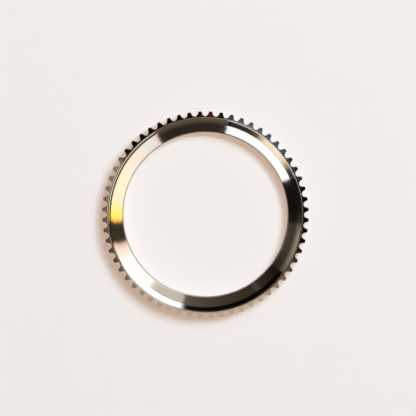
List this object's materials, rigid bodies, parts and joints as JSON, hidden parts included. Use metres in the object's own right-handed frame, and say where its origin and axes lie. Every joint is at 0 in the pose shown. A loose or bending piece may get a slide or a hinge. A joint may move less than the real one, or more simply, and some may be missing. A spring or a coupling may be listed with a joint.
{
  "type": "watch bezel",
  "caption": "Rotating watch bezel with a coin edge and an empty dished insert seat, on a fixed base ring with a ball click mechanism.",
  "frame": {"origin": "middle of the face of the base ring that rests on the watch case", "axes": "+Z along the axis of the ring, away from the watch case; +Y towards 12 o'clock, where a groove of the coin edge lies; +X towards 3 o'clock"},
  "size_m": [0.04, 0.04, 0.0033],
  "materials": {
    "bezel_steel": "polished, with fine circular turning marks",
    "click_steel": "ground satin",
    "base_steel": "fine turned satin",
    "wire_steel": "bright drawn spring wire",
    "pin_steel": "ground",
    "ball_steel": "mirror lapped",
    "gasket_rubber": "matte"
  },
  "bodies": {
    "base": {"base_ring": "base_steel", "bezel_gasket": "gasket_rubber", "ball_spring_1": "wire_steel", "ball_spring_2": "wire_steel", "ball_spring_3": "wire_steel", "ball_spring_4": "wire_steel"},
    "bezel": {"bezel_ring": "bezel_steel", "click_ring": "click_steel", "retaining_wire": "wire_steel", "click_pin_1": "pin_steel", "click_pin_2": "pin_steel", "click_pin_3": "pin_steel"},
    "ball_1": {"detent_ball_1": "ball_steel"},
    "ball_2": {"detent_ball_2": "ball_steel"},
    "ball_3": {"detent_ball_3": "ball_steel"},
    "ball_4": {"detent_ball_4": "ball_steel"}
  },
  "joints": [
    {"name": "bezel_turn", "type": "hinge", "parent": "base", "child": "bezel", "pos_m": [0, 0, 0.0013], "axis": [0, 0, 1], "continuous": true},
    {"name": "ball_1_press", "type": "slide", "parent": "base", "child": "ball_1", "axis": [0, 0, 1], "range_m": [-0.00014, 0], "stiffness_N_per_m": 200, "deforming": ["ball_spring_1"]},
    {"name": "ball_2_press", "type": "slide", "parent": "base", "child": "ball_2", "axis": [0, 0, 1], "range_m": [-0.00014, 0], "stiffness_N_per_m": 200, "deforming": ["ball_spring_2"]},
    {"name": "ball_3_press", "type": "slide", "parent": "base", "child": "ball_3", "axis": [0, 0, 1], "range_m": [-0.00014, 0], "stiffness_N_per_m": 200, "deforming": ["ball_spring_3"]},
    {"name": "ball_4_press", "type": "slide", "parent": "base", "child": "ball_4", "axis": [0, 0, 1], "range_m": [-0.00014, 0], "stiffness_N_per_m": 200, "deforming": ["ball_spring_4"]}
  ]
}
